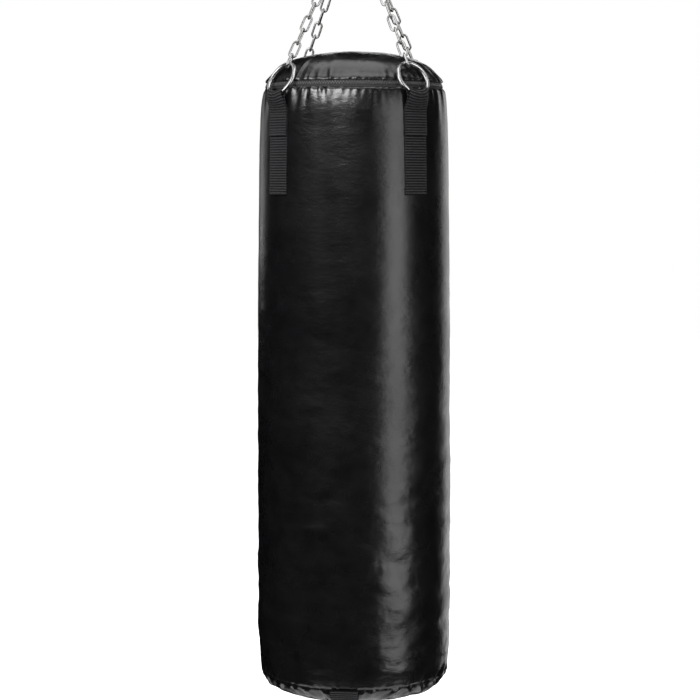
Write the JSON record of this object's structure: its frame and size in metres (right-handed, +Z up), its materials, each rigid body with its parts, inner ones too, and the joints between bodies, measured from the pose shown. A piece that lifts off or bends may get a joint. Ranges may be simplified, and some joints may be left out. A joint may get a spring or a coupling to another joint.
{
  "type": "hanging heavy bag",
  "caption": "Hanging cylindrical punching bag in black vinyl, on chains from a spreader plate, shackle and ball-bearing swivel, with rings in webbing straps and a zipped top.",
  "frame": {"origin": "the point inside the top of the swivel's eye where it bears on its hook", "axes": "+Z up along the bag's axis, -Y towards the front, the chains at 45 degrees to X and Y"},
  "size_m": [0.3616, 0.3616, 1.5306],
  "materials": {
    "vinyl": "satin",
    "webbing": "matte",
    "zip": "satin",
    "zip_metal": "satin",
    "ring_steel": "gloss",
    "chain_steel": "gloss",
    "hardware_steel": "satin",
    "bearing_steel": "satin",
    "foam": "matte",
    "textile_filling": "matte"
  },
  "bodies": {
    "hanger": {"swivel_eye": "hardware_steel", "swivel_nut": "hardware_steel"},
    "swivel": {"swivel_bearing": "bearing_steel", "swivel_stirrup": "hardware_steel"},
    "shackle": {"shackle_bow": "hardware_steel", "shackle_pin": "hardware_steel"},
    "bag": {"spreader_plate": "hardware_steel", "link_front_left_1": "chain_steel", "link_front_left_2": "chain_steel", "link_front_left_3": "chain_steel", "link_front_left_4": "chain_steel", "link_front_left_5": "chain_steel", "link_front_left_6": "chain_steel", "link_front_left_7": "chain_steel", "link_front_right_1": "chain_steel", "link_front_right_2": "chain_steel", "link_front_right_3": "chain_steel", "link_front_right_4": "chain_steel", "link_front_right_5": "chain_steel", "link_front_right_6": "chain_steel", "link_front_right_7": "chain_steel", "link_back_right_1": "chain_steel", "link_back_right_2": "chain_steel", "link_back_right_3": "chain_steel", "link_back_right_4": "chain_steel", "link_back_right_5": "chain_steel", "link_back_right_6": "chain_steel", "link_back_right_7": "chain_steel", "link_back_left_1": "chain_steel", "link_back_left_2": "chain_steel", "link_back_left_3": "chain_steel", "link_back_left_4": "chain_steel", "link_back_left_5": "chain_steel", "link_back_left_6": "chain_steel", "link_back_left_7": "chain_steel", "end_link_front_left": "chain_steel", "end_link_front_right": "chain_steel", "end_link_back_right": "chain_steel", "end_link_back_left": "chain_steel", "ring_front_left": "ring_steel", "ring_front_right": "ring_steel", "ring_back_right": "ring_steel", "ring_back_left": "ring_steel", "strap_front_left": "webbing", "strap_front_right": "webbing", "strap_back_right": "webbing", "strap_back_left": "webbing", "top_cover": "vinyl", "zip_tape": "zip", "outer_shell": "vinyl", "bottom_panel": "vinyl", "foam_liner": "foam", "filling": "textile_filling", "bottom_strap": "webbing"},
    "slider": {"zip_slider": "zip_metal"},
    "pull": {"zip_pull": "zip_metal"}
  },
  "joints": [
    {"name": "swivel_spin", "type": "hinge", "parent": "hanger", "child": "swivel", "pos_m": [0, 0, -0.046], "axis": [0, 0, 1], "continuous": true},
    {"name": "shackle_swing", "type": "hinge", "parent": "swivel", "child": "shackle", "pos_m": [0, 0, -0.104], "axis": [1, 0, 0], "range_deg": [-35, 35]},
    {"name": "bag_swing", "type": "hinge", "parent": "shackle", "child": "bag", "pos_m": [0, 0, -0.1355], "axis": [0, 1, 0], "range_deg": [-35, 35]},
    {"name": "zip_travel", "type": "hinge", "parent": "bag", "child": "slider", "pos_m": [0, 0, -0.36861], "axis": [0, 0, -1], "range_deg": [0, 50]},
    {"name": "pull_flip", "type": "hinge", "parent": "slider", "child": "pull", "pos_m": [-0.0809, 0.14595, -0.36756], "axis": [0.1541, -0.278, 0.9481], "range_deg": [0, 95]}
  ]
}
